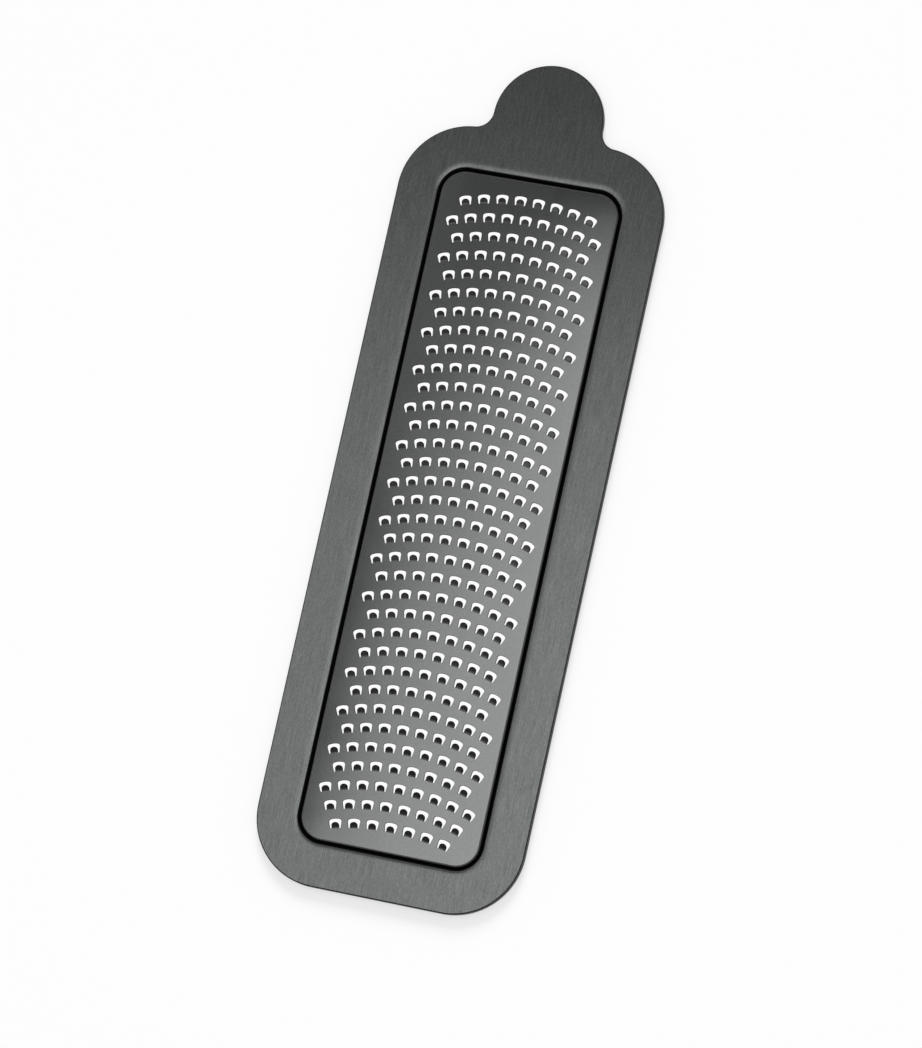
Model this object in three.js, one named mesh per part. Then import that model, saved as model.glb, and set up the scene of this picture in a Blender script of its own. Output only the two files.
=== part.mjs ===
// Flat hand grater: an etched cutting blade held between two pressed steel frames.
// Millimetres. X runs across the plate, Y along it towards the thumb tab, Z up through its thickness.
// The origin is under the middle of the plate, on the plane that it lies on.

import * as THREE from 'three';

// Outline that both frames share
const BODY_WIDTH = 78;
const BODY_LENGTH = 220.4;
const CORNER_RADIUS = 20;
const TAB_RADIUS = 16;
const TAB_RISE = 5; // centre of the tab's round end, above the body's top edge
const NECK_FILLET = 5; // hollow between the tab and the body

// Window that both frames share
const SIDE_BORDER = 11.75;
const END_BORDER = 12.1;
const WINDOW_CORNER_RADIUS = 8;

// Thickness of the three sheets
const BACK_THICKNESS = 0.9; // under the blade's seat
const BLADE_THICKNESS = 0.35;
const FRONT_THICKNESS = 0.9;

// Pressed edges of the frames
const FRONT_EDGE_ROUND = 0.36; // outer edges that the hand meets
const BACK_EDGE_ROUND = 0.2;
const LIP_WIDTH = 2.6; // front face dishing down into the window
const LIP_DROP = 0.18;
const DISH_POWER = 4; // how late the lip bends down

// Blade between the frames
const FLANGE_LAP = 5; // flange trapped between the frames, past the window's edge
const SEAT_CLEARANCE = 0.2; // round the flange's edge, in the back frame's seat
const MOAT_GAP = 0.6; // window's edge to the foot of the blade's shoulder
const SHOULDER_RUN = 0.95; // width of the slope up to the cutting field
const FIELD_RISE = 0.2; // cutting field above the front face

// Rows of teeth, each an arc whose ends droop away from the tab
const ROW_PITCH = 5.48;
const ROW_RADIUS = 70;
const TOOTH_PITCH = 5.37; // along the arc
const FIRST_ROW = 7.3; // crown of the first row, above the field's lower edge
const TOOTH_MARGIN = 4; // least distance from a tooth's centre to the field's edge

// One tooth: a tongue cut free by a slot with a crown, two legs and two feet, its tip towards the tab
const CENTRE_HEIGHT = 1.85; // tongue's root to the tooth's place on its row
const SLOT_HEIGHT = 2.75; // tongue's root to the slot's crown
const CROWN_WIDTH = 3.55;
const FEET_WIDTH = 3.05;
const FOOT_SLANT = 0.15; // outer corner of a foot above the tongue's root
const TONGUE_WIDTH = 2.26;
const TONGUE_LENGTH = 1.8;
const TONGUE_SHOULDER = 1.15; // root to where the tongue narrows to its tip
const TONGUE_LIFT = 0.45; // tip above the cutting field
const CUTTING_BEVEL = 0.25; // width of the slope round the tongue's edge

// Facets on the round stretches
const CORNER_STEPS = 8;
const NECK_STEPS = 4;
const TAB_STEPS = 16;
const WINDOW_STEPS = 6;
const EDGE_STEPS = 2;
const LIP_STEPS = 5;

// Places along Y
const TOTAL_LENGTH = BODY_LENGTH + TAB_RISE + TAB_RADIUS;
const BODY_BOTTOM = -TOTAL_LENGTH / 2;
const BODY_TOP = BODY_BOTTOM + BODY_LENGTH;

// Levels along Z
const SEAT_LEVEL = BACK_THICKNESS;
const PARTING_LEVEL = SEAT_LEVEL + BLADE_THICKNESS; // where the two frames meet
const FACE_LEVEL = PARTING_LEVEL + FRONT_THICKNESS;
const FIELD_LEVEL = FACE_LEVEL + FIELD_RISE;

const QUARTER = Math.PI / 2;

// Points of an arc, each with the outward direction of the outline that it belongs to
function arc(centre, radius, from, to, steps, hollow = false) {
  return Array.from({ length: steps + 1 }, (_, i) => {
    const angle = from + ((to - from) * i) / steps;
    const ray = new THREE.Vector2(Math.cos(angle), Math.sin(angle));
    const place = centre.clone().addScaledVector(ray, radius);
    return { place, out: hollow ? ray.negate() : ray };
  });
}

// Centre of the neck's fillet: it touches the tab and the body's top edge,
// or the body's corner where that edge is too short
function neckCentre(tab, corner) {
  const tabReach = TAB_RADIUS + NECK_FILLET;
  const onEdge = Math.sqrt(tabReach ** 2 - (NECK_FILLET - TAB_RISE) ** 2);
  if (onEdge <= corner.x) return new THREE.Vector2(onEdge, BODY_TOP + NECK_FILLET);

  const cornerReach = CORNER_RADIUS + NECK_FILLET;
  const apart = tab.distanceTo(corner);
  const along = (tabReach ** 2 - cornerReach ** 2 + apart ** 2) / (2 * apart);
  const aside = Math.sqrt(tabReach ** 2 - along ** 2);
  const line = corner.clone().sub(tab).divideScalar(apart);
  const square = new THREE.Vector2(-line.y, line.x);
  return tab.clone().addScaledVector(line, along).addScaledVector(square, aside);
}

// Outline of the frames, anticlockwise from the lower left corner
function plateOutline() {
  const cornerX = BODY_WIDTH / 2 - CORNER_RADIUS;
  const lowerY = BODY_BOTTOM + CORNER_RADIUS;
  const upperY = BODY_TOP - CORNER_RADIUS;
  const tab = new THREE.Vector2(0, BODY_TOP + TAB_RISE);
  const corner = new THREE.Vector2(cornerX, upperY);
  const neck = neckCentre(tab, corner);
  const edgeAngle = neck.x <= cornerX ? QUARTER : neck.clone().sub(corner).angle();
  const tabAngle = Math.atan2(neck.y - tab.y, neck.x - tab.x);
  const mirrored = new THREE.Vector2(-neck.x, neck.y);
  return [
    ...arc(new THREE.Vector2(-cornerX, lowerY), CORNER_RADIUS, 2 * QUARTER, 3 * QUARTER, CORNER_STEPS),
    ...arc(new THREE.Vector2(cornerX, lowerY), CORNER_RADIUS, 3 * QUARTER, 4 * QUARTER, CORNER_STEPS),
    ...arc(corner, CORNER_RADIUS, 0, edgeAngle, CORNER_STEPS),
    ...arc(neck, NECK_FILLET, edgeAngle + Math.PI, tabAngle + Math.PI, NECK_STEPS, true).slice(1),
    ...arc(tab, TAB_RADIUS, tabAngle, Math.PI - tabAngle, TAB_STEPS).slice(1, -1),
    ...arc(mirrored, NECK_FILLET, -tabAngle, -edgeAngle, NECK_STEPS, true).slice(0, -1),
    ...arc(new THREE.Vector2(-cornerX, upperY), CORNER_RADIUS, Math.PI - edgeAngle, Math.PI, CORNER_STEPS),
  ];
}

// Outline of the window, anticlockwise from its lower left corner
function windowOutline() {
  const cornerX = BODY_WIDTH / 2 - SIDE_BORDER - WINDOW_CORNER_RADIUS;
  const lowerY = BODY_BOTTOM + END_BORDER + WINDOW_CORNER_RADIUS;
  const upperY = BODY_TOP - END_BORDER - WINDOW_CORNER_RADIUS;
  const corners = [
    new THREE.Vector2(-cornerX, lowerY),
    new THREE.Vector2(cornerX, lowerY),
    new THREE.Vector2(cornerX, upperY),
    new THREE.Vector2(-cornerX, upperY),
  ];
  return corners.flatMap((corner, i) =>
    arc(corner, WINDOW_CORNER_RADIUS, (i + 2) * QUARTER, (i + 3) * QUARTER, WINDOW_STEPS),
  );
}

// Round edge from a flat face down to its side, as distances in from the side and down from the face
function roundEdge(radius, steps) {
  return Array.from({ length: steps + 1 }, (_, i) => {
    const turn = (QUARTER * i) / steps;
    return { inset: radius * (1 - Math.sin(turn)), down: radius * (1 - Math.cos(turn)) };
  });
}

// Dished edge, measured in the same way, that bends down more and more towards the side
function dishedEdge(width, drop, steps) {
  return Array.from({ length: steps + 1 }, (_, i) => {
    const share = i / steps;
    return { inset: width * (1 - share), down: drop * share ** DISH_POWER };
  });
}

// A closed faceted body, gathered loop by loop
class SheetBody {
  points = [];

  faces = [];

  // Adds points and gives their numbers
  add(points) {
    const first = this.points.length;
    this.points.push(...points);
    return points.map((_, i) => first + i);
  }

  // Adds an outline moved outwards by an offset, at a level
  loop(outline, offset, level) {
    return this.add(
      outline.map(({ place, out }) => {
        const moved = place.clone().addScaledVector(out, offset);
        return new THREE.Vector3(moved.x, moved.y, level);
      }),
    );
  }

  // Wall from one run of points to another: facing out where it climbs, and into the hole where it descends
  wall(from, to, closed = true) {
    const count = closed ? from.length : from.length - 1;
    for (let i = 0; i < count; i += 1) {
      const next = (i + 1) % from.length;
      this.faces.push([from[i], from[next], to[next]], [from[i], to[next], to[i]]);
    }
  }

  // Walls through a run of closed loops
  walls(loops) {
    loops.slice(1).forEach((loop, i) => this.wall(loops[i], loop));
  }

  // Flat face inside a rim and round its holes
  flat(rim, holes, facingUp) {
    const seen = (loop) => loop.map((i) => new THREE.Vector2(this.points[i].x, this.points[i].y));
    const numbers = [rim, ...holes].flat();
    for (const corners of THREE.ShapeUtils.triangulateShape(seen(rim), holes.map(seen))) {
      const face = corners.map((i) => numbers[i]);
      this.faces.push(facingUp ? face : face.reverse());
    }
  }

  mesh(name, material) {
    const geometry = new THREE.BufferGeometry().setFromPoints(this.points);
    geometry.setIndex(this.faces.flat());
    geometry.computeVertexNormals();
    const mesh = new THREE.Mesh(geometry, material);
    mesh.name = name;
    return mesh;
  }
}

const plate = plateOutline();
const frameWindow = windowOutline();
const frameSteel = { color: '#62666a', roughness: 0.42, metalness: 1, flatShading: true };
const bladeSteel = { color: '#6d6f70', roughness: 0.34, metalness: 1, flatShading: true };

// Front frame: rounded outer edge, flat face, and a lip that dishes down into the window
function makeFrontFrame() {
  const body = new SheetBody();
  const edge = roundEdge(FRONT_EDGE_ROUND, EDGE_STEPS).reverse();
  const lip = dishedEdge(LIP_WIDTH, LIP_DROP, LIP_STEPS);
  const outside = [
    body.loop(plate, 0, PARTING_LEVEL),
    ...edge.map(({ inset, down }) => body.loop(plate, -inset, FACE_LEVEL - down)),
  ];
  const inside = [
    ...lip.map(({ inset, down }) => body.loop(frameWindow, inset, FACE_LEVEL - down)),
    body.loop(frameWindow, 0, PARTING_LEVEL),
  ];
  body.walls(outside);
  body.flat(outside.at(-1), [inside[0]], true);
  body.walls(inside);
  body.flat(outside[0], [inside.at(-1)], false);
  return body.mesh('front_frame', new THREE.MeshStandardMaterial(frameSteel));
}

// Back frame: rounded outer edge underneath, and a seat for the blade's flange round the window
function makeBackFrame() {
  const body = new SheetBody();
  const edge = roundEdge(BACK_EDGE_ROUND, EDGE_STEPS);
  const seatLap = FLANGE_LAP + SEAT_CLEARANCE;
  const outside = [
    ...edge.map(({ inset, down }) => body.loop(plate, -inset, down)),
    body.loop(plate, 0, PARTING_LEVEL),
  ];
  const seat = [body.loop(frameWindow, seatLap, PARTING_LEVEL), body.loop(frameWindow, seatLap, SEAT_LEVEL)];
  const inside = [body.loop(frameWindow, 0, SEAT_LEVEL), body.loop(frameWindow, 0, 0)];
  body.walls(outside);
  body.flat(outside.at(-1), [seat[0]], true);
  body.walls(seat);
  body.flat(seat[1], [inside[0]], true);
  body.walls(inside);
  body.flat(outside[0], [inside[1]], false);
  return body.mesh('back_frame', new THREE.MeshStandardMaterial(frameSteel));
}

const FIELD_INSET = MOAT_GAP + SHOULDER_RUN; // window's edge to the cutting field

// Distance from a point to the cutting field's edge, positive inside it
function depthInField(point) {
  const radius = WINDOW_CORNER_RADIUS - FIELD_INSET;
  const halfWidth = BODY_WIDTH / 2 - SIDE_BORDER - FIELD_INSET;
  const halfLength = BODY_LENGTH / 2 - END_BORDER - FIELD_INSET;
  const middleY = (BODY_BOTTOM + BODY_TOP) / 2;
  const beyondX = Math.abs(point.x) - (halfWidth - radius);
  const beyondY = Math.abs(point.y - middleY) - (halfLength - radius);
  const corner = Math.hypot(Math.max(beyondX, 0), Math.max(beyondY, 0));
  return radius - corner - Math.min(Math.max(beyondX, beyondY), 0);
}

// Centre and lean of every tooth that lies far enough inside the field; odd rows stand half a pitch over
function toothPlaces() {
  const places = [];
  const lowest = BODY_BOTTOM + END_BORDER + FIELD_INSET;
  const highest = BODY_TOP - END_BORDER - FIELD_INSET;
  const reach = Math.ceil(BODY_WIDTH / TOOTH_PITCH);
  for (let row = 0; lowest + FIRST_ROW + row * ROW_PITCH < highest; row += 1) {
    const crown = lowest + FIRST_ROW + row * ROW_PITCH;
    for (let n = -reach; n <= reach; n += 1) {
      const lean = ((n + (row % 2) / 2) * TOOTH_PITCH) / ROW_RADIUS;
      const drop = ROW_RADIUS * (1 - Math.cos(lean));
      const centre = new THREE.Vector2(ROW_RADIUS * Math.sin(lean), crown - drop);
      if (depthInField(centre) >= TOOTH_MARGIN) places.push({ centre, lean });
    }
  }
  return places;
}

// One tooth, measured from the middle of its tongue's root
const otherSide = (point) => new THREE.Vector2(-point.x, point.y);
const root = new THREE.Vector2(TONGUE_WIDTH / 2, 0);
const foot = new THREE.Vector2(FEET_WIDTH / 2, FOOT_SLANT);
const crown = new THREE.Vector2(CROWN_WIDTH / 2, SLOT_HEIGHT);
const side = new THREE.Vector2(TONGUE_WIDTH / 2, TONGUE_SHOULDER);
const tip = new THREE.Vector2(0, TONGUE_LENGTH);
const bevelSide = side.clone().sub(new THREE.Vector2(CUTTING_BEVEL, CUTTING_BEVEL / 2));
const bevelTip = tip.clone().sub(new THREE.Vector2(0, CUTTING_BEVEL));
const slotOutline = [otherSide(root), root, foot, crown, otherSide(crown), otherSide(foot)];
const tongueUnderside = [side, tip, otherSide(side)];
const tongueFace = [bevelSide, bevelTip, otherSide(bevelSide)];

// Cuts one slot and bends its tongue up; gives the slot's upper and lower loops
function addTooth(body, { centre, lean }) {
  const place = (points, level, lift) =>
    body.add(
      points.map((point) => {
        const fromCentre = new THREE.Vector2(point.x, point.y - CENTRE_HEIGHT);
        const turned = fromCentre.rotateAround(new THREE.Vector2(), -lean).add(centre);
        return new THREE.Vector3(turned.x, turned.y, level + (lift * point.y) / TONGUE_LENGTH);
      }),
    );
  const underLevel = FIELD_LEVEL - BLADE_THICKNESS;
  const upper = place(slotOutline, FIELD_LEVEL, 0);
  const lower = place(slotOutline, underLevel, 0);
  const tongueTop = [upper[0], upper[1], ...place(tongueFace, FIELD_LEVEL, TONGUE_LIFT)];
  const tongueUnder = [lower[0], lower[1], ...place(tongueUnderside, underLevel, TONGUE_LIFT)];
  const cutEdge = (loop) => [...loop.slice(1), loop[0]]; // all but the root, which stays joined to the sheet
  body.wall(cutEdge(upper), cutEdge(lower), false);
  body.wall(cutEdge(tongueUnder), cutEdge(tongueTop), false);
  body.flat(tongueTop, [], true);
  body.flat(tongueUnder, [], false);
  return { upper, lower };
}

// Grating blade: flange, sloped shoulder and raised field, with a tooth at each place
function makeGratingBlade() {
  const body = new SheetBody();
  const slope = Math.atan2(FIELD_LEVEL - PARTING_LEVEL, SHOULDER_RUN);
  const bendShift = BLADE_THICKNESS * Math.tan(slope / 2); // keeps the sheet's thickness on the slope
  const flange = [
    body.loop(frameWindow, FLANGE_LAP, SEAT_LEVEL),
    body.loop(frameWindow, FLANGE_LAP, PARTING_LEVEL),
  ];
  const shoulder = [
    body.loop(frameWindow, -MOAT_GAP, PARTING_LEVEL),
    body.loop(frameWindow, -FIELD_INSET, FIELD_LEVEL),
  ];
  const underside = [
    body.loop(frameWindow, -FIELD_INSET - bendShift, FIELD_LEVEL - BLADE_THICKNESS),
    body.loop(frameWindow, -MOAT_GAP - bendShift, SEAT_LEVEL),
  ];
  const teeth = toothPlaces().map((place) => addTooth(body, place));
  body.walls(flange);
  body.flat(flange[1], [shoulder[0]], true);
  body.walls(shoulder);
  body.flat(shoulder[1], teeth.map(({ upper }) => upper), true);
  body.flat(underside[0], teeth.map(({ lower }) => lower), false);
  body.walls(underside);
  body.flat(flange[0], [underside[1]], false);
  return body.mesh('grating_blade', new THREE.MeshStandardMaterial(bladeSteel));
}

const grater = new THREE.Group();
grater.name = 'flat_grater';
grater.add(makeBackFrame(), makeGratingBlade(), makeFrontFrame());

export default grater;
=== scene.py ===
import math

import bpy
from mathutils import Euler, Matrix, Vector
from mathutils.geometry import delaunay_2d_cdt, tessellate_polygon


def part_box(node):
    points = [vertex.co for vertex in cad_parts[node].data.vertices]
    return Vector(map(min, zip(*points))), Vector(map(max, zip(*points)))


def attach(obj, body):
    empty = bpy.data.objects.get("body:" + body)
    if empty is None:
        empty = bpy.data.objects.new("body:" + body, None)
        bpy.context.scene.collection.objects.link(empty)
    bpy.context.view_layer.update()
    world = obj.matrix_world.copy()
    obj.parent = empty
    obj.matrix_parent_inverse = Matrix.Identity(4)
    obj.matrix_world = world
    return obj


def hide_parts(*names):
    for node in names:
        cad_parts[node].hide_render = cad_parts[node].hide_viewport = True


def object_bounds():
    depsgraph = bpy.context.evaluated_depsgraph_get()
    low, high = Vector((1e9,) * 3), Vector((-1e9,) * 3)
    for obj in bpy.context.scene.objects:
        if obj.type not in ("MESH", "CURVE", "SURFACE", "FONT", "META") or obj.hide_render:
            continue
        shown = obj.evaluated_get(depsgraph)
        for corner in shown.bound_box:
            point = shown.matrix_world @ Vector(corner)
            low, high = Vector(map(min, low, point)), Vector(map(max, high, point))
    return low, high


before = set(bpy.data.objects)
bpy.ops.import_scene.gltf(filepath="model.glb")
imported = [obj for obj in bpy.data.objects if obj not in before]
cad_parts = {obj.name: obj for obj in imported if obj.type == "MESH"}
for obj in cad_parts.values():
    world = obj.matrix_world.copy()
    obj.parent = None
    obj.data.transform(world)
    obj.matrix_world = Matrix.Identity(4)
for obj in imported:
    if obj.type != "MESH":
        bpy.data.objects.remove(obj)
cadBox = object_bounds()
mm = 0.001  # the sheets and the camera are measured in millimetres, the studio in metres
quarter = math.pi / 2
white = (1, 1, 1, 1)
black = (0, 0, 0, 1)
print("frame loaded:", sorted(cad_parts))

scene = bpy.context.scene
scene.view_settings.view_transform = "Standard"

# levels and ends of the sheets, from the frame
frontLow, frontHigh = (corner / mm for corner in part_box("front_frame"))
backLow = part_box("back_frame")[0] / mm
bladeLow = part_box("grating_blade")[0] / mm
faceLevel = frontHigh.z
partingLevel = frontLow.z
seatLevel = bladeLow.z
underLevel = backLow.z
bodyBottom = frontLow.y
halfWidth = frontHigh.x

# camera at the photograph's angle
photoCamera = {
    "turn": (10.522, 12.820, 12.729),  # degrees about X, Y, Z
    "middle": (2.033, 12.617),         # plate's middle, right of and above the picture's centre
    "distance": 1578.57,
    "focal": 5637.4,                   # in picture pixels
    "pictureHeight": 1048,
    "sensor": 36.0,
}


def makeCamera(size):
    data = bpy.data.cameras.new("photoCamera")
    data.sensor_width = size["sensor"]
    data.lens = size["focal"] / size["pictureHeight"] * size["sensor"]
    camera = bpy.data.objects.new("photoCamera", data)
    turn = Euler([math.radians(angle) for angle in size["turn"]], "XYZ")
    right, up = size["middle"]
    away = turn.to_matrix() @ Vector((-right, -up, size["distance"]))
    camera.location = (away + Vector((0, 0, faceLevel))) * mm
    camera.rotation_euler = turn
    scene.collection.objects.link(camera)
    scene.camera = camera


makeCamera(photoCamera)
print("camera placed")

# node helpers, for the steels and the studio
grainNoise = {
    "fade": 0.55,         # strength of each finer layer of the noise
    "range": (0.3, 0.7),  # values that nearly all of the noise lies between
}


def newFinish(name, metallic):
    material = bpy.data.materials.new(name)
    material.use_nodes = True
    tree = material.node_tree
    shader = tree.nodes["Principled BSDF"]
    shader.inputs["Metallic"].default_value = metallic
    return material, tree, shader


def stretchedNoise(tree, scale, detail):
    place = tree.nodes.new("ShaderNodeTexCoord")
    stretch = tree.nodes.new("ShaderNodeMapping")
    stretch.inputs["Scale"].default_value = scale
    noise = tree.nodes.new("ShaderNodeTexNoise")
    noise.inputs["Scale"].default_value = 1.0  # the mapping stretches it
    noise.inputs["Detail"].default_value = detail
    noise.inputs["Roughness"].default_value = grainNoise["fade"]
    tree.links.new(place.outputs["Object"], stretch.inputs["Vector"])
    tree.links.new(stretch.outputs["Vector"], noise.inputs["Vector"])
    return noise.outputs["Fac"]


def heightOn(tree):
    place = tree.nodes.new("ShaderNodeTexCoord")
    height = tree.nodes.new("ShaderNodeSeparateXYZ")
    tree.links.new(place.outputs["Object"], height.inputs["Vector"])
    return height.outputs["Z"]


def remap(tree, value, source, target, blend="LINEAR"):
    ramp = tree.nodes.new("ShaderNodeMapRange")
    ramp.interpolation_type = blend
    ramp.inputs["From Min"].default_value, ramp.inputs["From Max"].default_value = source
    ramp.inputs["To Min"].default_value, ramp.inputs["To Max"].default_value = target
    tree.links.new(value, ramp.inputs["Value"])
    return ramp.outputs["Result"]


def spread(tree, noise, target=(0, 1)):
    return remap(tree, noise, grainNoise["range"], target)


def dressSteel(tree, shader, finish, shade, rough, relief):
    tint = tree.nodes.new("ShaderNodeMix")
    tint.data_type = "RGBA"
    tint.inputs["A"].default_value = (*finish["dark"], 1)
    tint.inputs["B"].default_value = (*finish["light"], 1)
    bump = tree.nodes.new("ShaderNodeBump")
    bump.inputs["Strength"].default_value = finish["bumpStrength"]
    bump.inputs["Distance"].default_value = finish["bumpDepth"]
    tree.links.new(shade, tint.inputs["Factor"])
    tree.links.new(tint.outputs["Result"], shader.inputs["Base Color"])
    tree.links.new(spread(tree, rough, finish["roughness"]), shader.inputs["Roughness"])
    tree.links.new(relief, bump.inputs["Height"])
    tree.links.new(bump.outputs["Normal"], shader.inputs["Normal"])


# dark frame steel, brushed lengthwise
frameFinish = {
    "dark": (0.136, 0.147, 0.145),
    "light": (0.356, 0.368, 0.366),
    "brush": (9000, 1500, 9000),  # noise cells to the metre, across, along, through
    "line": (7000, 130, 7000),    # longer strokes among the short ones
    "lineShare": 0.48,
    "strokeDetail": 1,
    "streak": (2100, 85, 2100),   # rougher and smoother bands
    "streakDetail": 3,
    "roughness": (0.315, 0.358),
    "bumpStrength": 0.10,
    "bumpDepth": 0.00002,
    "anisotropy": 0.84,
}


def makeFrameSteel(finish):
    material, tree, shader = newFinish("frameSteel", metallic=1.0)
    brush = stretchedNoise(tree, finish["brush"], finish["strokeDetail"])
    line = stretchedNoise(tree, finish["line"], finish["strokeDetail"])
    streak = stretchedNoise(tree, finish["streak"], finish["streakDetail"])
    strokes = tree.nodes.new("ShaderNodeMix")
    strokes.inputs["Factor"].default_value = finish["lineShare"]
    tree.links.new(brush, strokes.inputs["A"])
    tree.links.new(line, strokes.inputs["B"])
    grain = strokes.outputs["Result"]
    dressSteel(tree, shader, finish, spread(tree, grain), streak, grain)
    shader.inputs["Anisotropic"].default_value = finish["anisotropy"]
    tangent = tree.nodes.new("ShaderNodeTangent")
    tangent.direction_type = "UV_MAP"
    tree.links.new(tangent.outputs["Tangent"], shader.inputs["Tangent"])
    return material


# edges of the frame sheets, in painted shade: dark where they are rounded and a little paler where they
# are cut
shadedEdgeFinish = {
    "dark": (0.018, 0.019, 0.019),
    "light": (0.044, 0.046, 0.046),
    "gloss": 0.04,                # hardly shiny where it is seen along its surface, so the painted shade holds
    "grain": (4000, 4000, 4000),
    "detail": 3,
    "roughness": (0.32, 0.46),
    "bumpStrength": 0.1,
    "bumpDepth": 0.00001,
}
# cut walls: paler for the bare cut, but their dark level is painted shade too
cutFinish = {
    "dark": (0.040, 0.039, 0.038),
    "light": (0.068, 0.066, 0.064),
    "gloss": 0.06,
    "grain": (2600, 2600, 300),   # shear marks run through the sheet
    "detail": 3,
    "roughness": (0.28, 0.42),
    "bumpStrength": 0.15,
    "bumpDepth": 0.00002,
}
# etched cut edges of the teeth, dull from the etching, and near black with painted shade
etchedShadeFinish = {
    "dark": (0.005, 0.005, 0.005),
    "light": (0.014, 0.015, 0.015),
    "gloss": 0.15,
    "grain": (16000, 16000, 16000),
    "detail": 3,
    "roughness": (0.42, 0.6),
    "bumpStrength": 0.2,
    "bumpDepth": 0.00001,
}


def makeShadedEdgeSteel(name, finish):  # dark non-metal that paints in these edges' shade, so they aren't shaded as bare metal
    material, tree, shader = newFinish(name, metallic=0.0)
    grain = stretchedNoise(tree, finish["grain"], finish["detail"])
    dressSteel(tree, shader, finish, spread(tree, grain), grain, grain)
    shader.inputs["Specular IOR Level"].default_value = finish["gloss"]
    return material


# blade steel, finer and smoother; the bent tongues get a darker copy of it, which is painted shade
bladeFinish = {
    "dark": (0.183, 0.190, 0.188),
    "light": (0.213, 0.220, 0.217),
    "grain": (3200, 3200, 3200),
    "grainDetail": 2,
    "smudge": (55, 55, 55),
    "smudgeDetail": 4,
    "roughness": (0.118, 0.145),
    "bumpStrength": 0.05,
    "bumpDepth": 0.00001,
}
# darker copy of the blade steel for the tongues: painted shade
shadedTongueFinish = {
    "dark": (0.066, 0.068, 0.068),
    "light": (0.084, 0.086, 0.085),
    "grain": (5200, 5200, 5200),
    "grainDetail": 2,
    "smudge": (300, 300, 300),
    "smudgeDetail": 4,
    "roughness": (0.16, 0.22),
    "bumpStrength": 0.08,
    "bumpDepth": 0.00001,
}


def makeBladeSteel(name, finish):
    material, tree, shader = newFinish(name, metallic=1.0)
    grain = stretchedNoise(tree, finish["grain"], finish["grainDetail"])
    smudge = stretchedNoise(tree, finish["smudge"], finish["smudgeDetail"])
    dressSteel(tree, shader, finish, spread(tree, grain), smudge, grain)
    return material


# groove round the field, with painted shade darkening it towards its floor
grooveShadeFinish = {
    "dark": (0.004, 0.004, 0.004),
    "light": (0.190, 0.194, 0.192),
    "grain": (6000, 6000, 6000),
    "detail": 3,
    "roughness": (0.40, 0.50),
    "bumpStrength": 0.1,
    "bumpDepth": 0.00001,
    "reach": (0.28, 0.92),        # share of the groove's depth over which the painted shade lifts, from its floor
}


def makeGrooveShadeSteel(finish, floorLevel, rimLevel):
    material, tree, shader = newFinish("grooveShadeSteel", metallic=1.0)
    heights = [(floorLevel + (rimLevel - floorLevel) * share) * mm for share in finish["reach"]]
    # painted shade: near black at the groove's floor, the blade's own tone near its rim
    climb = remap(tree, heightOn(tree), heights, (0, 1), "SMOOTHSTEP")
    grain = stretchedNoise(tree, finish["grain"], finish["detail"])
    dressSteel(tree, shader, finish, climb, grain, grain)
    return material


frameSteel = makeFrameSteel(frameFinish)
bladeSteel = makeBladeSteel("bladeSteel", bladeFinish)
shadedTongueSteel = makeBladeSteel("shadedTongueSteel", shadedTongueFinish)
etchedShadedSteel = makeShadedEdgeSteel("etchedShadedSteel", etchedShadeFinish)
shadedEdgeSteel = makeShadedEdgeSteel("shadedEdgeSteel", shadedEdgeFinish)
cutSteel = makeShadedEdgeSteel("cutSteel", cutFinish)
print("steels mixed")

# places of the steels in a piece's list
mainFace = 0                                  # a frame's brushed face, the blade's field
rolledEdge, cutEdge = 1, 2                    # on the frames
etchedWall, grooveSide, bentTongue = 1, 2, 3  # on the blade


# outlines: each point is a place and its outward direction
def arcRun(centre, radius, start, end, steps, hollow=False):
    run = []
    for i in range(steps + 1):
        angle = start + (end - start) * i / steps
        ray = Vector((math.cos(angle), math.sin(angle)))
        run.append((Vector(centre) + ray * radius, -ray if hollow else ray))
    return run


outline = {
    "bodyLength": 220.4,
    "cornerRadius": 20.0,
    "tabRadius": 16.0,
    "tabRise": 5.0,      # tab's centre above the body's top edge
    "neckFillet": 5.0,
    "cornerSteps": 40,
    "tabSteps": 72,
    "neckSteps": 20,
}


def plateRun(size):
    radius, fillet = size["cornerRadius"], size["neckFillet"]
    cornerX = halfWidth - radius
    lowerY = bodyBottom + radius
    top = bodyBottom + size["bodyLength"]
    corner = Vector((cornerX, top - radius))
    tab = Vector((0, top + size["tabRise"]))
    tabReach = size["tabRadius"] + fillet
    cornerReach = radius + fillet
    apart = (corner - tab).length
    along = (tabReach ** 2 - cornerReach ** 2 + apart ** 2) / (2 * apart)
    line = (corner - tab) / apart
    square = Vector((-line.y, line.x))
    neck = tab + line * along + square * math.sqrt(tabReach ** 2 - along ** 2)  # touches tab and corner
    edgeAngle = math.atan2(neck.y - corner.y, neck.x - corner.x)
    tabAngle = math.atan2(neck.y - tab.y, neck.x - tab.x)
    cornerSteps, neckSteps = size["cornerSteps"], size["neckSteps"]
    run = arcRun((-cornerX, lowerY), radius, math.pi, 3 * quarter, cornerSteps)
    run += arcRun((cornerX, lowerY), radius, 3 * quarter, 4 * quarter, cornerSteps)
    run += arcRun(corner, radius, 0, edgeAngle, cornerSteps)
    run += arcRun(neck, fillet, edgeAngle + math.pi, tabAngle + math.pi, neckSteps, True)[1:]
    run += arcRun(tab, size["tabRadius"], tabAngle, math.pi - tabAngle, size["tabSteps"])[1:-1]
    run += arcRun((-neck.x, neck.y), fillet, -tabAngle, -edgeAngle, neckSteps, True)[:-1]
    run += arcRun((-cornerX, corner.y), radius, math.pi - edgeAngle, math.pi, cornerSteps)
    return run


opening = {
    "sideBorder": 11.75,
    "endBorder": 12.1,
    "cornerRadius": 8.0,
    "cornerSteps": 24,
}


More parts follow.
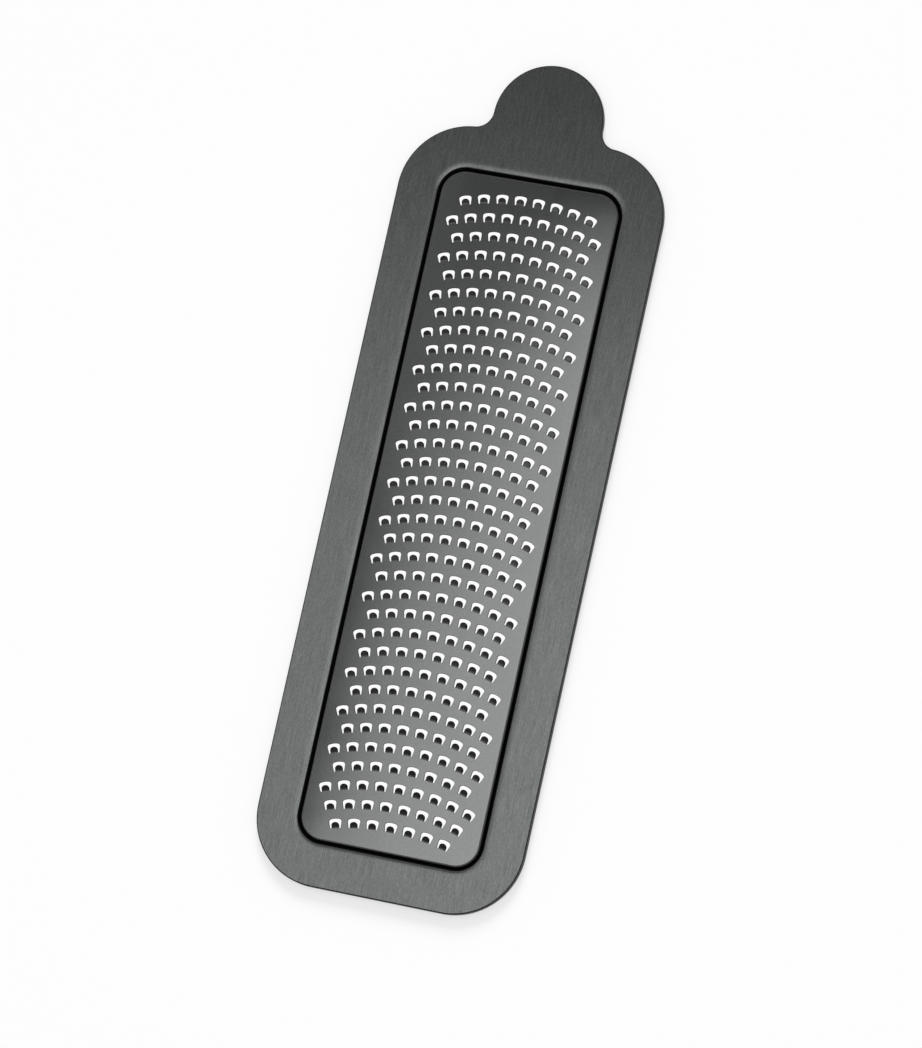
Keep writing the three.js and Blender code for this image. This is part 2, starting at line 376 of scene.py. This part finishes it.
def windowRun(size):
    radius = size["cornerRadius"]
    cornerX = halfWidth - size["sideBorder"] - radius
    lowerY = bodyBottom + size["endBorder"] + radius
    upperY = bodyBottom + outline["bodyLength"] - size["endBorder"] - radius
    corners = [(-cornerX, lowerY), (cornerX, lowerY), (cornerX, upperY), (-cornerX, upperY)]
    run = []
    for i, corner in enumerate(corners):
        run += arcRun(corner, radius, (i + 2) * quarter, (i + 3) * quarter, size["cornerSteps"])
    return run


plate = plateRun(outline)
window = windowRun(opening)
inwards, outwards = -1, 1  # side of an outline that a ring lies on


# sheet meshes, gathered ring by ring
def newSheet():
    return {"points": [], "faces": [], "finish": []}


def addPoints(sheet, points):
    first = len(sheet["points"])
    sheet["points"] += points
    return list(range(first, first + len(points)))


def addRings(sheet, run, side, rings):  # a ring is its distance from the outline and its level
    added = []
    for inset, level in rings:
        points = [Vector((*(place + out * side * inset), level)) for place, out in run]
        added.append(addPoints(sheet, points))
    return added


def addFace(sheet, corners, finish=mainFace):
    sheet["faces"].append(corners)
    sheet["finish"].append(finish)


# a wall faces out where it climbs, and into the hole where it drops
def addWall(sheet, first, second, finish=mainFace, closed=True):
    for i in range(len(first) if closed else len(first) - 1):
        j = (i + 1) % len(first)
        corners = dict.fromkeys([first[i], first[j], second[j], second[i]])
        addFace(sheet, list(corners), finish)  # a shared end leaves three corners


def addWalls(sheet, rings, finish=mainFace):
    for first, second in zip(rings, rings[1:]):
        addWall(sheet, first, second, finish)


def facing(sheet, corners, up):
    a, b, c = (sheet["points"][i] for i in corners)
    turnsLeft = (b.x - a.x) * (c.y - a.y) - (b.y - a.y) * (c.x - a.x) > 0
    return corners if turnsLeft == up else corners[::-1]


def addFlat(sheet, rim, hole, up, finish=mainFace):
    loops = [[sheet["points"][i] for i in loop] for loop in (rim, hole)]
    numbers = rim + hole
    for corners in tessellate_polygon(loops):
        addFace(sheet, facing(sheet, [numbers[i] for i in corners], up), finish)


def rolled(radius, steps):  # from a flat face round to its side: inset and drop
    turns = [quarter * i / steps for i in range(steps + 1)]
    return [(radius * (1 - math.sin(turn)), radius * (1 - math.cos(turn))) for turn in turns]


def makePiece(name, sheet, materials, sharp):
    mesh = bpy.data.meshes.new(name)
    mesh.from_pydata([point * mm for point in sheet["points"]], [], sheet["faces"])
    for material in materials:
        mesh.materials.append(material)
    mesh.polygons.foreach_set("material_index", sheet["finish"])
    mesh.polygons.foreach_set("use_smooth", [True] * len(mesh.polygons))
    layer = mesh.uv_layers.new(name="lengthwise")
    for loop, uv in zip(mesh.loops, layer.uv):
        uv.vector = mesh.vertices[loop.vertex_index].co.xy  # brush direction for the highlights
    mesh.set_sharp_from_angle(angle=math.radians(sharp))
    mesh.validate()
    piece = bpy.data.objects.new(name, mesh)
    scene.collection.objects.link(piece)
    return piece


# front frame: rounded outside, flat brushed face, lip rolled down into the window
frontEdges = {
    "seam": 0.07,       # broken edge along the parting line
    "seamSteps": 3,
    "edgeRound": 0.36,
    "edgeSteps": 8,
    "cutRings": 2,      # last rings of the rounded edge, which look cut
    "lipWidth": 2.6,
    "lipDrop": 0.18,
    "lipPower": 4,      # how late the lip bends down
    "lipSteps": 16,
    "lipBreak": 0.04,   # broken edge where the lip ends
    "keeper": 0.05,     # narrow band that keeps the face's shading flat
    "sharp": 38,        # degrees above which an edge is shaded sharp
}


def makeFrontFrame(size):
    sheet = newSheet()
    seam = [(inset, partingLevel + rise) for inset, rise in rolled(size["seam"], size["seamSteps"])]
    edge = [(inset, faceLevel - drop) for inset, drop in rolled(size["edgeRound"], size["edgeSteps"])]
    edge = [(size["edgeRound"] + size["keeper"], faceLevel)] + edge
    side, shoulder = edge[-size["cutRings"]:], edge[:-size["cutRings"]]
    cut = addRings(sheet, plate, inwards, seam + side[::-1])
    outside = cut[-1:] + addRings(sheet, plate, inwards, shoulder[::-1])
    lip = [(size["lipWidth"] + size["keeper"], faceLevel)]
    for i in range(size["lipSteps"] + 1):
        share = i / size["lipSteps"]
        inset = size["lipBreak"] + (size["lipWidth"] - size["lipBreak"]) * (1 - share)
        lip.append((inset, faceLevel - size["lipDrop"] * share ** size["lipPower"]))
    wall = [(0, lip[-1][1] - size["lipBreak"]), (0, partingLevel)]
    inside = addRings(sheet, window, outwards, lip)
    drop = inside[-1:] + addRings(sheet, window, outwards, wall)
    addWalls(sheet, cut, cutEdge)
    addWalls(sheet, outside[:-1], rolledEdge)
    addWalls(sheet, outside[-2:])
    addFlat(sheet, outside[-1], inside[0], True)
    addWalls(sheet, inside)
    addWalls(sheet, drop, rolledEdge)
    addFlat(sheet, cut[0], drop[-1], False)
    return makePiece("frontFrame", sheet, [frameSteel, shadedEdgeSteel, cutSteel], size["sharp"])


frontFrame = makeFrontFrame(frontEdges)
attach(frontFrame, "root")
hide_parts("front_frame")
print("front frame made")

# back frame: rounded underside edge, seat for the blade's flange
backEdges = {
    "seam": 0.07,
    "seamSteps": 3,
    "edgeRound": 0.2,
    "edgeSteps": 8,
    "cutRings": 2,
    "seatLap": 5.2,     # seat past the window's edge
    "windowBreak": 0.12,
    "breakSteps": 4,
    "keeper": 0.05,
    "sharp": 38,
}


def makeBackFrame(size):
    sheet = newSheet()
    edge = [(inset, underLevel + rise) for inset, rise in rolled(size["edgeRound"], size["edgeSteps"])]
    edge = [(size["edgeRound"] + size["keeper"], underLevel)] + edge
    seam = [(inset, partingLevel - drop) for inset, drop in rolled(size["seam"], size["seamSteps"])]
    side, shoulder = edge[-size["cutRings"]:], edge[:-size["cutRings"]]
    outside = addRings(sheet, plate, inwards, shoulder)
    cut = outside[-1:] + addRings(sheet, plate, inwards, side + seam[::-1])
    step = [(size["seatLap"], level) for level in (partingLevel, seatLevel)]
    seat = addRings(sheet, window, outwards, step)
    rim = [(inset, underLevel + rise) for inset, rise in rolled(size["windowBreak"], size["breakSteps"])]
    rim = [(size["windowBreak"] + size["keeper"], underLevel)] + rim + [(0, seatLevel)]
    inside = addRings(sheet, window, outwards, rim[::-1])
    addWalls(sheet, outside[:2])
    addWalls(sheet, outside[1:], rolledEdge)
    addWalls(sheet, cut, cutEdge)
    addFlat(sheet, cut[-1], seat[0], True)
    addWalls(sheet, seat)
    addFlat(sheet, seat[-1], inside[0], True)
    addWalls(sheet, inside)
    addFlat(sheet, outside[0], inside[-1], False)
    return makePiece("backFrame", sheet, [frameSteel, shadedEdgeSteel, cutSteel], size["sharp"])


backFrame = makeBackFrame(backEdges)
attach(backFrame, "root")
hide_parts("back_frame")
print("back frame made")

# blade: flange, eased shoulder, raised field
bladeShape = {
    "thickness": 0.35,
    "flangeLap": 5.0,
    "moatGap": 0.6,
    "shoulderRun": 0.95,
    "shoulderSteps": 14,
    "shoulderEase": 0.55,  # 0 is a straight slope, 1 a full S
    "fieldRise": 0.2,
    "crownDrop": 0.040,    # how far the field sinks at its edge
    "crownReach": 5.5,     # distance over which it levels out
    "gridStep": 1.2,       # spacing of the points that carry the crown
    "slotClear": 2.5,      # they keep this far from the middle of a slot
    "keeper": 0.04,
    "sharp": 38,
}
fieldLevel = faceLevel + bladeShape["fieldRise"]
fieldUnder = fieldLevel - bladeShape["thickness"]
fieldInset = bladeShape["moatGap"] + bladeShape["shoulderRun"]
fieldMiddle = bodyBottom + outline["bodyLength"] / 2

# rows of teeth on arcs whose ends droop away from the tab
rows = {
    "pitch": 5.48,
    "radius": 70.0,
    "toothPitch": 5.37,
    "first": 7.3,       # crown of the first row above the field's lower edge
    "margin": 4.0,      # least distance from a tooth's centre to the field's edge
}


def depthInField(x, y):
    radius = opening["cornerRadius"] - fieldInset
    reachX = halfWidth - opening["sideBorder"] - fieldInset - radius
    reachY = outline["bodyLength"] / 2 - opening["endBorder"] - fieldInset - radius
    beyondX = abs(x) - reachX
    beyondY = abs(y - fieldMiddle) - reachY
    return radius - math.hypot(max(beyondX, 0), max(beyondY, 0)) - min(max(beyondX, beyondY), 0)


def toothPlaces(size):
    places = []
    lowest = bodyBottom + opening["endBorder"] + fieldInset
    highest = lowest + outline["bodyLength"] - 2 * (opening["endBorder"] + fieldInset)
    reach = math.ceil(2 * halfWidth / size["toothPitch"])
    for row in range(math.ceil((highest - lowest - size["first"]) / size["pitch"])):
        crown = lowest + size["first"] + row * size["pitch"]
        for n in range(-reach, reach + 1):
            lean = (n + row % 2 / 2) * size["toothPitch"] / size["radius"]  # odd rows lie half a pitch on
            x = size["radius"] * math.sin(lean)
            y = crown - size["radius"] * (1 - math.cos(lean))
            if depthInField(x, y) >= size["margin"]:
                places.append((x, y, lean))
    return places


# one tooth, from the middle of its tongue's root, tip towards +Y
tooth = {
    "centre": 1.85,          # root to the tooth's place on its row
    "feetWidth": 3.05,
    "footRadius": 0.3,
    "footSteps": 5,
    "crownWidth": 3.55,
    "crownLevel": 1.88,      # where the crown's round corners start
    "crownRadius": 0.7,
    "crownTurn": 74,         # degrees, end of the round corner
    "cornerSteps": 7,
    "crownSteps": 8,
    "edgeBreak": 0.09,
    "tongueWidth": 2.26,
    "tongueLength": 1.78,
    "tongueShoulder": 0.85,  # where the round tip starts
    "lift": 0.45,
    "bendShare": 0.3,        # share of the length that is bent
    "bevel": 0.25,
    "bevelStart": 0.4,       # length over which the bevel grows from the root
    "land": 0.06,            # thickness left at the cutting edge
    "sideSteps": 5,
    "tipSteps": 9,
}


def slotRun(size):
    footRadius, cornerRadius = size["footRadius"], size["crownRadius"]
    footSteps, cornerSteps = size["footSteps"], size["cornerSteps"]
    footEnd = Vector((size["feetWidth"] / 2, footRadius))
    side = Vector((size["crownWidth"] / 2, size["crownLevel"])) - footEnd
    taper = -math.atan2(side.x, side.y)
    foot = Vector((size["feetWidth"] / 2 - footRadius, footRadius))
    corner = Vector((size["crownWidth"] / 2 - cornerRadius, size["crownLevel"]))
    turn = math.radians(size["crownTurn"])
    crownRadius = cornerRadius + corner.x / math.cos(turn)
    crownCentre = (0, corner.y - corner.x * math.tan(turn))
    root = size["tongueWidth"] / 2
    down = Vector((0, -1))
    run = [(Vector((root, 0)), down)]
    run += arcRun(foot, footRadius, -quarter, taper, footSteps)
    run += arcRun(corner, cornerRadius, taper, turn, cornerSteps)
    run += arcRun(crownCentre, crownRadius, turn, math.pi - turn, size["crownSteps"])[1:-1]
    run += arcRun((-corner.x, corner.y), cornerRadius, math.pi - turn, math.pi - taper, cornerSteps)
    run += arcRun((-foot.x, foot.y), footRadius, math.pi - taper, 3 * quarter, footSteps)
    run += [(Vector((-root, 0)), down)]
    return run


def bevelShare(size, y):  # grows smoothly from 0 at the root to 1
    share = min(y / size["bevelStart"], 1)
    return share * share * (3 - 2 * share)


def tongueRun(size, inset):  # right side of the tongue from root to tip
    shoulder = size["tongueShoulder"]
    half = size["tongueWidth"] / 2
    tip = size["tongueLength"] - shoulder
    points = []
    for i in range(1, size["sideSteps"] + 1):
        points.append((half, shoulder * i / size["sideSteps"]))
    for i in range(1, size["tipSteps"] + 1):
        turn = quarter * i / size["tipSteps"]
        points.append((half * math.cos(turn), shoulder + tip * math.sin(turn)))
    moved = []
    for x, y in points:
        step = inset * bevelShare(size, y)
        turn = math.atan2(max(y - shoulder, 0), x)
        moved.append(Vector((max(x - step * math.cos(turn), 0), y - step * math.sin(turn))))
    moved[-1].x = 0
    return moved


def bendLift(size, y):
    share = max(y, 0) / size["tongueLength"]
    bend = size["bendShare"]
    raised = share * share / (2 * bend) if share < bend else share - bend / 2
    return size["lift"] * raised / (1 - bend / 2)


def addTooth(sheet, size, place):
    x, y, lean = place
    across = Vector((math.cos(lean), -math.sin(lean)))
    along = Vector((math.sin(lean), math.cos(lean)))
    base = Vector((x, y)) - along * size["centre"]

    def stand(point, level):
        return Vector((*(base + across * point.x + along * point.y), level))

    def addSides(points, levels, rightRoot, leftRoot):  # both sides of the tongue share the tip
        raised = [(point, level + bendLift(size, point.y)) for point, level in zip(points, levels)]
        right = addPoints(sheet, [stand(point, level) for point, level in raised])
        mirrored = [(Vector((-point.x, point.y)), level) for point, level in raised[:-1]]
        left = addPoints(sheet, [stand(point, level) for point, level in mirrored])
        return [rightRoot] + right, [leftRoot] + left + right[-1:]

    # slot, open at the tongue's root
    slot = slotRun(size)
    curve = slot[1:-1]
    edgeBreak = size["edgeBreak"]
    rim = addPoints(sheet, [stand(point + out * edgeBreak, fieldLevel) for point, out in curve])
    upper = addPoints(sheet, [stand(point, fieldLevel - edgeBreak) for point, out in curve])
    lower = addPoints(sheet, [stand(point, fieldUnder) for point, out in slot])
    rightRoot, leftRoot = addPoints(sheet, [stand(slot[end][0], fieldLevel) for end in (0, -1)])
    addFace(sheet, [rim[-1], rim[0], rightRoot, leftRoot])  # strip from the field to the tongue's root
    broken = [rightRoot] + upper + [leftRoot]
    addWall(sheet, [rightRoot] + rim + [leftRoot], broken, etchedWall, False)
    addWall(sheet, broken, lower, etchedWall, False)

    # tongue: face, cutting edge and underside
    face, edge = tongueRun(size, size["bevel"]), tongueRun(size, 0)
    thick = bladeShape["thickness"]
    lands = [thick + (size["land"] - thick) * bevelShare(size, point.y) for point in edge]
    faceRight, faceLeft = addSides(face, [fieldLevel] * len(face), rightRoot, leftRoot)
    edgeRight, edgeLeft = addSides(edge, [fieldUnder + land for land in lands], rightRoot, leftRoot)
    underRight, underLeft = addSides(edge, [fieldUnder] * len(edge), lower[0], lower[-1])
    addWall(sheet, faceRight, faceLeft, bentTongue, False)
    addWall(sheet, underLeft, underRight, mainFace, False)
    faceRim = faceRight + faceLeft[-2::-1]
    edgeRim = edgeRight + edgeLeft[-2::-1]
    underRim = underRight + underLeft[-2::-1]
    addWall(sheet, edgeRim, faceRim, etchedWall, False)
    addWall(sheet, underRim, edgeRim, etchedWall, False)
    return rim, lower


def addField(sheet, rim, holes, free, up):
    numbers = rim + [i for hole in holes for i in hole] + free
    flat = [sheet["points"][i].xy for i in numbers]
    owner = [0] * len(rim)
    for k, hole in enumerate(holes):
        owner += [k + 1] * len(hole)
    owner += [0] * len(free)
    edges = []
    first = 0
    for loop in [rim] + holes:
        edges += [(first + i, first + (i + 1) % len(loop)) for i in range(len(loop))]
        first += len(loop)
    insideRim, nearness = 1, 1e-7  # kind of output, and distance at which points are one
    _, _, faces, origin, _, _ = delaunay_2d_cdt(flat, edges, [], insideRim, nearness)
    for corners in faces:
        source = [origin[i][0] for i in corners]
        owners = {owner[i] for i in source}
        if len(owners) > 1 or owners == {0}:  # all corners on one slot would close it
            addFace(sheet, facing(sheet, [numbers[i] for i in source], up))


def fieldGrid(size, places):
    back = tooth["centre"] - (tooth["crownLevel"] + tooth["crownRadius"]) / 2
    slots = [Vector((x - math.sin(lean) * back, y - math.cos(lean) * back)) for x, y, lean in places]
    step = size["gridStep"]
    columns = math.floor(halfWidth / step)
    rises = math.floor(outline["bodyLength"] / 2 / step)
    grid = []
    for i in range(-columns, columns + 1):
        for j in range(-rises, rises + 1):
            spot = Vector((i * step, fieldMiddle + j * step))
            if depthInField(spot.x, spot.y) < step / 2:
                continue
            if all((spot - slot).length > size["slotClear"] for slot in slots):
                grid.append(spot)
    return grid


def crownField(sheet, size):
    for point in sheet["points"]:
        share = min(max((point.z - partingLevel) / (fieldLevel - partingLevel), 0), 1)
        depth = max(depthInField(point.x, point.y), 0)
        point.z -= size["crownDrop"] * share * math.exp(-depth / size["crownReach"])


def shoulderRun(size, inset, low, high):  # with a keeper at either end
    run = [(inset - size["keeper"], low)]
    for i in range(size["shoulderSteps"] + 1):
        share = i / size["shoulderSteps"]
        eased = share - size["shoulderEase"] * math.sin(2 * math.pi * share) / (2 * math.pi)
        run.append((inset + size["shoulderRun"] * share, low + (high - low) * eased))
    run.append((inset + size["shoulderRun"] + size["keeper"], high))
    return run


def makeBlade(size):
    sheet = newSheet()
    slope = math.atan2(fieldLevel - partingLevel, size["shoulderRun"])
    shift = size["thickness"] * math.tan(slope / 2)
    top = shoulderRun(size, size["moatGap"], partingLevel, fieldLevel)
    under = shoulderRun(size, size["moatGap"] + shift, seatLevel, fieldUnder)
    lap = [(size["flangeLap"], level) for level in (seatLevel, partingLevel)]
    flange = addRings(sheet, window, outwards, lap)
    topRings = addRings(sheet, window, inwards, top)
    underRings = addRings(sheet, window, inwards, under[::-1])
    places = toothPlaces(rows)
    teeth = [addTooth(sheet, tooth, place) for place in places]
    grid = fieldGrid(size, places)
    topGrid = addPoints(sheet, [Vector((*spot, fieldLevel)) for spot in grid])
    underGrid = addPoints(sheet, [Vector((*spot, fieldUnder)) for spot in grid])
    addWalls(sheet, flange)
    addFlat(sheet, flange[1], topRings[0], True, grooveSide)
    addWalls(sheet, topRings, grooveSide)
    addField(sheet, topRings[-1], [rim for rim, lower in teeth], topGrid, True)
    addField(sheet, underRings[0], [lower for rim, lower in teeth], underGrid, False)
    addWalls(sheet, underRings)
    addFlat(sheet, flange[0], underRings[-1], False)
    crownField(sheet, size)
    print("teeth cut:", len(teeth))
    grooveShadeSteel = makeGrooveShadeSteel(grooveShadeFinish, partingLevel, fieldLevel)
    steels = [bladeSteel, etchedShadedSteel, grooveShadeSteel, shadedTongueSteel]
    return makePiece("gratingBlade", sheet, steels, size["sharp"])


gratingBlade = makeBlade(bladeShape)
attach(gratingBlade, "root")
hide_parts("grating_blade")
print("blade made")

# plain pale floor that stays near white and keeps the shadow, and a white card under the window
paleFloor = {
    "size": 6.0,
    "drop": 0.0001,       # floor below the plate's underside
    "colour": (0.92, 0.92, 0.92, 1),
    "roughness": 0.9,
    "floorGlow": 0.55,    # share of the floor's own white that the camera sees
    "cardGlow": 0.97,     # the same for the card
}


def inView(tree):  # 1 for what the camera sees directly, in the steel or through glass
    path = tree.nodes.new("ShaderNodeLightPath")
    seen = path.outputs["Is Camera Ray"]
    for name in ("Is Glossy Ray", "Is Transmission Ray"):
        either = tree.nodes.new("ShaderNodeMath")
        either.operation = "MAXIMUM"
        tree.links.new(seen, either.inputs[0])
        tree.links.new(path.outputs[name], either.inputs[1])
        seen = either.outputs[0]
    return seen


def paleSurface(name, size, glowShare):
    material, tree, shader = newFinish(name, metallic=0.0)
    shader.inputs["Base Color"].default_value = size["colour"]
    shader.inputs["Roughness"].default_value = size["roughness"]
    shader.inputs["Specular IOR Level"].default_value = 0.0
    glow = tree.nodes.new("ShaderNodeEmission")
    glow.inputs["Strength"].default_value = 1.0  # white
    share = tree.nodes.new("ShaderNodeMath")
    share.operation = "MULTIPLY"
    share.inputs[1].default_value = glowShare
    mix = tree.nodes.new("ShaderNodeMixShader")
    tree.links.new(inView(tree), share.inputs[0])
    tree.links.new(share.outputs[0], mix.inputs["Fac"])
    tree.links.new(shader.outputs["BSDF"], mix.inputs[1])
    tree.links.new(glow.outputs["Emission"], mix.inputs[2])
    tree.links.new(mix.outputs["Shader"], tree.nodes["Material Output"].inputs["Surface"])
    return material


def makePlane(name, low, high, level, material):
    corners = [(low.x, low.y), (high.x, low.y), (high.x, high.y), (low.x, high.y)]
    mesh = bpy.data.meshes.new(name)
    mesh.from_pydata([(*corner, level) for corner in corners], [], [(0, 1, 2, 3)])
    mesh.materials.append(material)
    plane = bpy.data.objects.new(name, mesh)
    scene.collection.objects.link(plane)
    return plane


def makeFloor(size):
    reach = Vector((size["size"], size["size"])) / 2
    surface = paleSurface("paleFloor", size, size["floorGlow"])
    floor = makePlane("paleFloor", -reach, reach, cadBox[0].z - size["drop"], surface)


def makeCard(size):  # keeps the slots white, hidden by the plate all round
    xs = [place.x * mm for place, out in window]
    ys = [place.y * mm for place, out in window]
    low, high = Vector((min(xs), min(ys))), Vector((max(xs), max(ys)))
    surface = paleSurface("whiteCard", size, size["cardGlow"])
    card = makePlane("whiteCard", low, high, cadBox[0].z - size["drop"] / 2, surface)


skyLight = 0.62  # level at which the white world lights the scene


def makeWorld(level):
    world = bpy.data.worlds.new("whiteStudio")
    world.use_nodes = True
    tree = world.node_tree
    background = tree.nodes["Background"]
    background.inputs["Color"].default_value = white
    strength = remap(tree, inView(tree), (0, 1), (level, 1))
    tree.links.new(strength, background.inputs["Strength"])
    scene.world = world


# half-dome for the steel's reflections alone, pale round the sides and dark overhead
studioTent = {
    "radius": 1.9,
    "rings": 8,
    "sides": 32,
    "reach": (0.25, 0.914),   # share of its height over which it darkens upwards
    "levels": (0.55, 0.090),  # what the steel sees of it low down and overhead
}


def makeTent(size):
    material, tree, shader = newFinish("studioTent", metallic=0.0)
    shader.inputs["Base Color"].default_value = black
    shader.inputs["Specular IOR Level"].default_value = 0.0
    shader.inputs["Emission Color"].default_value = white
    heights = [size["radius"] * share for share in size["reach"]]
    shade = remap(tree, heightOn(tree), heights, size["levels"])
    tree.links.new(shade, shader.inputs["Emission Strength"])
    points, faces = [], []
    sides = size["sides"]
    for ring in range(size["rings"]):
        climb = quarter * ring / size["rings"]
        for i in range(sides):
            turn = 4 * quarter * i / sides
            out = math.cos(climb)
            ray = Vector((out * math.cos(turn), out * math.sin(turn), math.sin(climb)))
            points.append(ray * size["radius"])
            j = (i + 1) % sides
            if ring:
                under, here = (ring - 1) * sides, ring * sides
                faces.append((under + i, under + j, here + j, here + i))
    faces.append(tuple(range(len(points) - sides, len(points))))
    mesh = bpy.data.meshes.new("studioTent")
    mesh.from_pydata(points, [], faces)
    mesh.materials.append(material)
    tent = bpy.data.objects.new("studioTent", mesh)
    scene.collection.objects.link(tent)
    tent.visible_camera = False
    tent.visible_diffuse = False
    tent.visible_shadow = False
    tent.visible_transmission = False


# soft box overhead, and cards that the blade alone sees
softBox = {
    "middle": (0.018, -0.020, 1.0),
    "size": (0.62, 0.462),
    "turn": -12,    # degrees about the vertical
    "power": 1.42,  # radiance
}
bladeCards = {
    "tongueCard": {  # for the bent tongues
        "middle": (-0.555, -0.318, 1.0),
        "size": (0.49, 0.255),
        "turn": 0,
        "power": 1.6,
    },
    "tongueFill": {  # for the tongues of the middle rows
        "middle": (-0.18, -0.465, 1.0),
        "size": (0.26, 0.10),
        "turn": 0,
        "power": 0.65,
    },
    "fieldCard": {   # for the field's far corner
        "middle": (-0.395, 0.27, 1.0),
        "size": (0.21, 0.30),
        "turn": 0,
        "power": 0.22,
    },
    "edgeStrip": {   # beside the soft box, for the field's edge
        "middle": (-0.281, 0.125, 1.0),
        "size": (0.012, 0.17),
        "turn": -12,
        "power": 0.9,
    },
}


def makeLightPanel(name, size):
    data = bpy.data.lights.new(name, "AREA")
    data.shape = "RECTANGLE"
    data.size, data.size_y = size["size"]
    data.energy = size["power"] * math.pi * data.size * data.size_y
    panel = bpy.data.objects.new(name, data)
    panel.location = size["middle"]
    panel.rotation_euler.z = math.radians(size["turn"])
    scene.collection.objects.link(panel)
    return panel


def makeBladeCards(cards, blade):
    for name, size in cards.items():
        lit = bpy.data.collections.new(name + "Lit")
        lit.objects.link(blade)
        makeLightPanel(name, size).light_linking.receiver_collection = lit


# lays the short shadow past the bottom end, and stays out of the reflections
lowLamp = {
    "turn": (66, 0, 188),  # degrees, from the tab's end and a little from the left
    "spread": 22,
    "power": 2.5,
}


def makeLowLamp(size):
    data = bpy.data.lights.new("lowLamp", "SUN")
    data.energy = size["power"]
    data.angle = math.radians(size["spread"])
    lamp = bpy.data.objects.new("lowLamp", data)
    lamp.rotation_euler = [math.radians(angle) for angle in size["turn"]]
    lamp.visible_glossy = False
    scene.collection.objects.link(lamp)


makeFloor(paleFloor)
makeCard(paleFloor)
makeWorld(skyLight)
makeTent(studioTent)
makeLightPanel("softBox", softBox)
makeBladeCards(bladeCards, gratingBlade)
makeLowLamp(lowLamp)
print("studio lit")
